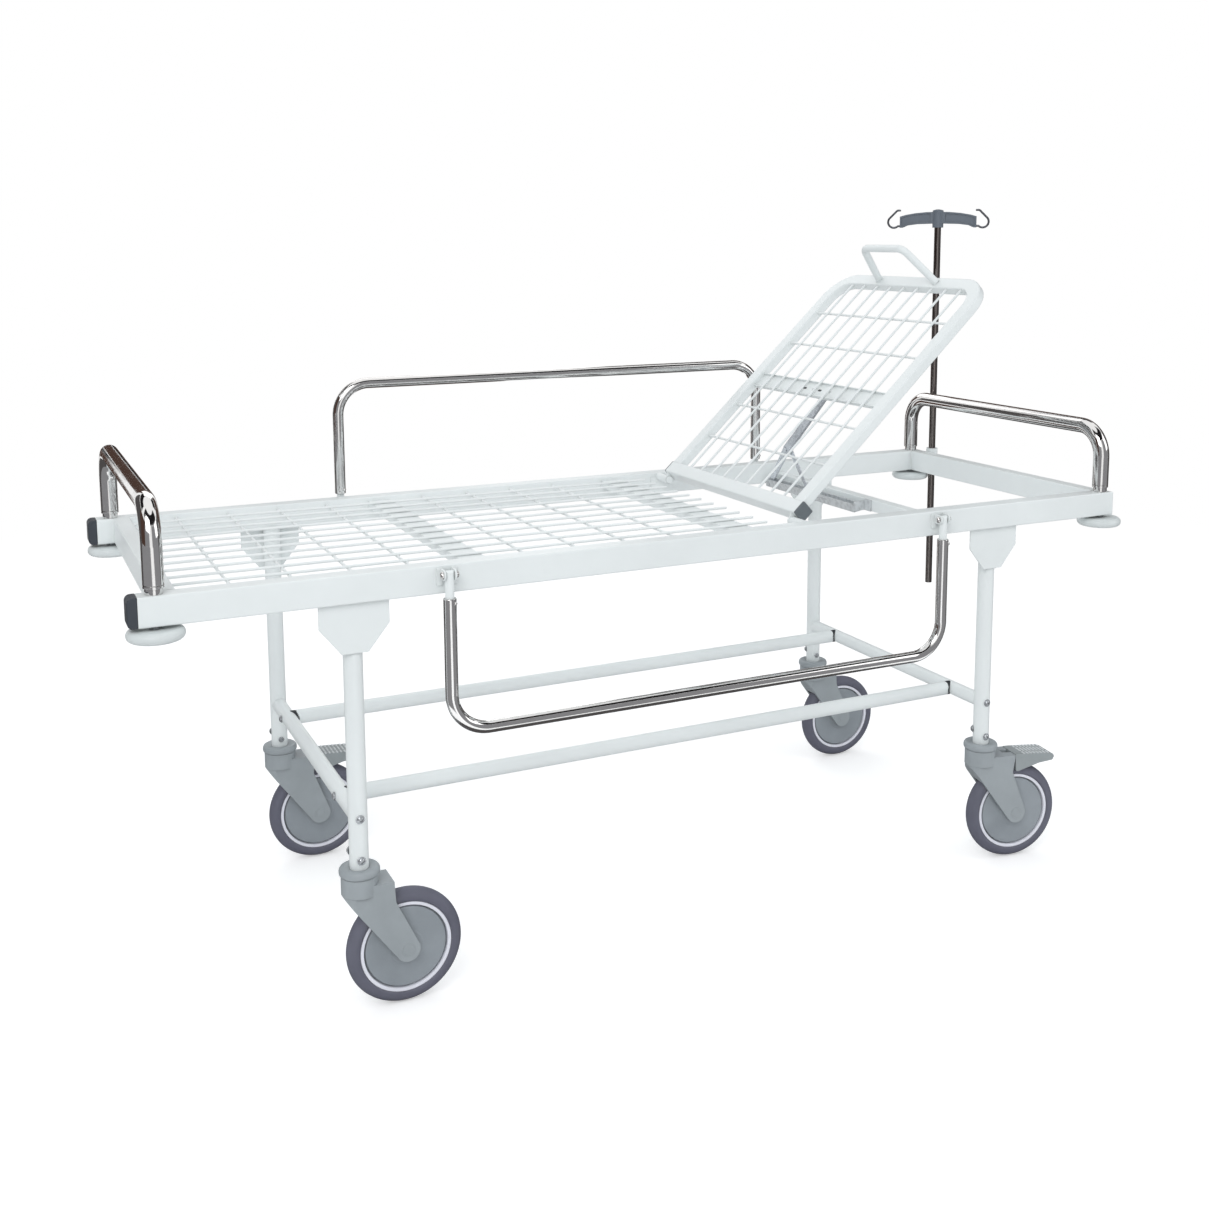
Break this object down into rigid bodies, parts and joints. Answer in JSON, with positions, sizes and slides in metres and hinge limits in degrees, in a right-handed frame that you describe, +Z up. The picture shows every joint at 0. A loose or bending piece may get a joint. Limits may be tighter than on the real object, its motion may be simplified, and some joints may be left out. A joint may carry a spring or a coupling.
{
  "type": "patient stretcher",
  "caption": "Four-wheeled hospital stretcher with a wire deck, a tilting backrest, folding side guards, push bars, corner bumpers and a drip pole.",
  "frame": {"origin": "on the floor under the middle of the whole outline, hook bar included", "axes": "+X along the stretcher from the foot end to the head end, +Y to the side with the drip pole, +Z up"},
  "size_m": [2.0602, 0.733, 1.3496],
  "materials": {
    "white_paint": "satin powder coat",
    "chrome": "polished",
    "zinc": "zinc plated",
    "black_plastic": "matte",
    "cap_plastic": "matte",
    "bumper_plastic": "satin",
    "caster_plastic": "satin",
    "wheel_plastic": "satin",
    "tyre": "matte",
    "pedal_plastic": "satin",
    "bar_plastic": "satin",
    "dark_wire": "dark plated"
  },
  "bodies": {
    "frame": {"near_rail": "white_paint", "far_rail": "white_paint", "foot_cross_rail": "white_paint", "head_cross_rail": "white_paint", "rail_end_caps": "black_plastic", "deck_flat_bars": "white_paint", "deck_mesh": "white_paint", "ratchet_cross_tube": "white_paint", "ratchet_brackets": "black_plastic", "foot_push_bar": "chrome", "head_push_bar": "chrome", "push_bar_spigots": "chrome", "bumper_bolts": "zinc", "guard_brackets": "white_paint", "guard_pivot_bolts": "chrome", "legs": "white_paint", "leg_plates": "white_paint", "lower_cross_tubes": "white_paint", "lower_long_tubes": "white_paint", "tube_saddles": "black_plastic", "leg_bolts": "zinc", "caster_heads": "caster_plastic", "backrest_hinge_pins": "white_paint", "pole_sleeve": "white_paint"},
    "foot_near_bumper": {"foot_near_bumper": "bumper_plastic"},
    "foot_far_bumper": {"foot_far_bumper": "bumper_plastic"},
    "head_near_bumper": {"head_near_bumper": "bumper_plastic"},
    "head_far_bumper": {"head_far_bumper": "bumper_plastic"},
    "near_guard_links": {"near_guard_links": "white_paint"},
    "far_guard_links": {"far_guard_links": "white_paint"},
    "near_guard": {"near_guard": "chrome"},
    "far_guard": {"far_guard": "chrome"},
    "foot_near_fork": {"foot_near_fork": "caster_plastic"},
    "foot_near_wheel": {"foot_near_wheel": "wheel_plastic", "foot_near_tyre": "tyre"},
    "foot_far_fork": {"foot_far_fork": "caster_plastic"},
    "foot_far_wheel": {"foot_far_wheel": "wheel_plastic", "foot_far_tyre": "tyre"},
    "foot_far_pedal": {"foot_far_pedal": "pedal_plastic"},
    "head_near_fork": {"head_near_fork": "caster_plastic"},
    "head_near_wheel": {"head_near_wheel": "wheel_plastic", "head_near_tyre": "tyre"},
    "head_near_pedal": {"head_near_pedal": "pedal_plastic"},
    "head_far_fork": {"head_far_fork": "caster_plastic"},
    "head_far_wheel": {"head_far_wheel": "wheel_plastic", "head_far_tyre": "tyre"},
    "backrest": {"backrest_frame": "white_paint", "backrest_mesh": "white_paint", "backrest_strip": "white_paint", "backrest_handle": "white_paint", "backrest_end_caps": "cap_plastic", "backrest_lugs": "white_paint"},
    "ratchet_channel": {"ratchet_channel": "zinc"},
    "ratchet_arm": {"ratchet_arm": "zinc", "ratchet_plate": "zinc"},
    "ratchet_strut": {"ratchet_strut": "zinc"},
    "pole_clamp_screw": {"pole_clamp_screw": "black_plastic"},
    "drip_pole": {"drip_pole": "chrome"},
    "hook_bar": {"hook_bar": "bar_plastic", "pole_hooks": "dark_wire"}
  },
  "joints": [
    {"name": "foot_near_bumper_spin", "type": "hinge", "parent": "frame", "child": "foot_near_bumper", "pos_m": [-0.98613, -0.3225, 0.692], "axis": [0, 0, 1], "continuous": true},
    {"name": "foot_far_bumper_spin", "type": "hinge", "parent": "frame", "child": "foot_far_bumper", "pos_m": [-0.98613, 0.3225, 0.692], "axis": [0, 0, 1], "continuous": true},
    {"name": "head_near_bumper_spin", "type": "hinge", "parent": "frame", "child": "head_near_bumper", "pos_m": [0.90587, -0.3225, 0.692], "axis": [0, 0, 1], "continuous": true},
    {"name": "head_far_bumper_spin", "type": "hinge", "parent": "frame", "child": "head_far_bumper", "pos_m": [0.90587, 0.3225, 0.692], "axis": [0, 0, 1], "continuous": true},
    {"name": "near_guard_hinge", "type": "hinge", "parent": "frame", "child": "near_guard_links", "pos_m": [-0.02863, -0.355, 0.74], "axis": [-1, 0, 0], "range_deg": [0, 180]},
    {"name": "far_guard_hinge", "type": "hinge", "parent": "frame", "child": "far_guard_links", "pos_m": [-0.02863, 0.355, 0.74], "axis": [-1, 0, 0], "range_deg": [0, 180]},
    {"name": "near_guard_slide", "type": "slide", "parent": "near_guard_links", "child": "near_guard", "axis": [0, 0, 1], "range_m": [0, 0.021]},
    {"name": "far_guard_slide", "type": "slide", "parent": "far_guard_links", "child": "far_guard", "axis": [0, 0, 1], "range_m": [0, 0.021]},
    {"name": "foot_near_swivel", "type": "hinge", "parent": "frame", "child": "foot_near_fork", "pos_m": [-0.68313, -0.313, 0.226], "axis": [0, 0, 1], "continuous": true},
    {"name": "foot_near_wheel_spin", "type": "hinge", "parent": "foot_near_fork", "child": "foot_near_wheel", "pos_m": [-0.61013, -0.313, 0.1], "axis": [0, 1, 0], "continuous": true},
    {"name": "foot_far_swivel", "type": "hinge", "parent": "frame", "child": "foot_far_fork", "pos_m": [-0.68313, 0.313, 0.226], "axis": [0, 0, 1], "continuous": true},
    {"name": "foot_far_wheel_spin", "type": "hinge", "parent": "foot_far_fork", "child": "foot_far_wheel", "pos_m": [-0.61013, 0.313, 0.1], "axis": [0, 1, 0], "continuous": true},
    {"name": "foot_far_pedal_press", "type": "hinge", "parent": "foot_far_fork", "child": "foot_far_pedal", "pos_m": [-0.62413, 0.313, 0.216], "axis": [0, 1, 0], "range_deg": [0, 8]},
    {"name": "head_near_swivel", "type": "hinge", "parent": "frame", "child": "head_near_fork", "pos_m": [0.61787, -0.313, 0.226], "axis": [0, 0, 1], "continuous": true},
    {"name": "head_near_wheel_spin", "type": "hinge", "parent": "head_near_fork", "child": "head_near_wheel", "pos_m": [0.68997, -0.32442, 0.1], "axis": [0.1564, 0.9877, 0], "continuous": true},
    {"name": "head_near_pedal_press", "type": "hinge", "parent": "head_near_fork", "child": "head_near_pedal", "pos_m": [0.67614, -0.32223, 0.216], "axis": [0.1564, 0.9877, 0], "range_deg": [0, 8]},
    {"name": "head_far_swivel", "type": "hinge", "parent": "frame", "child": "head_far_fork", "pos_m": [0.61787, 0.313, 0.226], "axis": [0, 0, 1], "continuous": true},
    {"name": "head_far_wheel_spin", "type": "hinge", "parent": "head_far_fork", "child": "head_far_wheel", "pos_m": [0.69087, 0.313, 0.1], "axis": [0, 1, 0], "continuous": true},
    {"name": "backrest_tilt", "type": "hinge", "parent": "frame", "child": "backrest", "pos_m": [0.18987, 0, 0.745], "axis": [0, -1, 0], "range_deg": [-43, 4]},
    {"name": "ratchet_lean", "type": "hinge", "parent": "frame", "child": "ratchet_channel", "pos_m": [0.47687, 0.1, 0.712], "axis": [0, -1, 0], "range_deg": [-36, 4]},
    {"name": "ratchet_swing", "type": "hinge", "parent": "ratchet_channel", "child": "ratchet_arm", "pos_m": [0.47687, 0.285, 0.712], "axis": [-0.9812, 0, -0.193], "range_deg": [-36, 4]},
    {"name": "ratchet_strut_fold", "type": "hinge", "parent": "ratchet_arm", "child": "ratchet_strut", "pos_m": [0.45834, 0.187, 0.80619], "axis": [-0.9812, 0, -0.193], "range_deg": [-9, 90]},
    {"name": "pole_slide", "type": "slide", "parent": "frame", "child": "drip_pole", "axis": [0, 0, 1], "range_m": [-0.3, 0.25]},
    {"name": "hook_bar_turn", "type": "hinge", "parent": "drip_pole", "child": "hook_bar", "pos_m": [0.93987, 0.281, 1.3], "axis": [0, 0, 1], "continuous": true},
    {"name": "clamp_screw_turn", "type": "hinge", "parent": "frame", "child": "pole_clamp_screw", "pos_m": [0.93987, 0.26, 0.732], "axis": [0, 1, 0], "range_deg": [0, 180]}
  ],
  "couplings": [
    {"joint": "ratchet_lean", "follows": "backrest_tilt", "ratio": 0.81},
    {"joint": "ratchet_swing", "follows": "backrest_tilt", "ratio": 0.82},
    {"joint": "ratchet_strut_fold", "follows": "backrest_tilt", "ratio": -2.08}
  ]
}
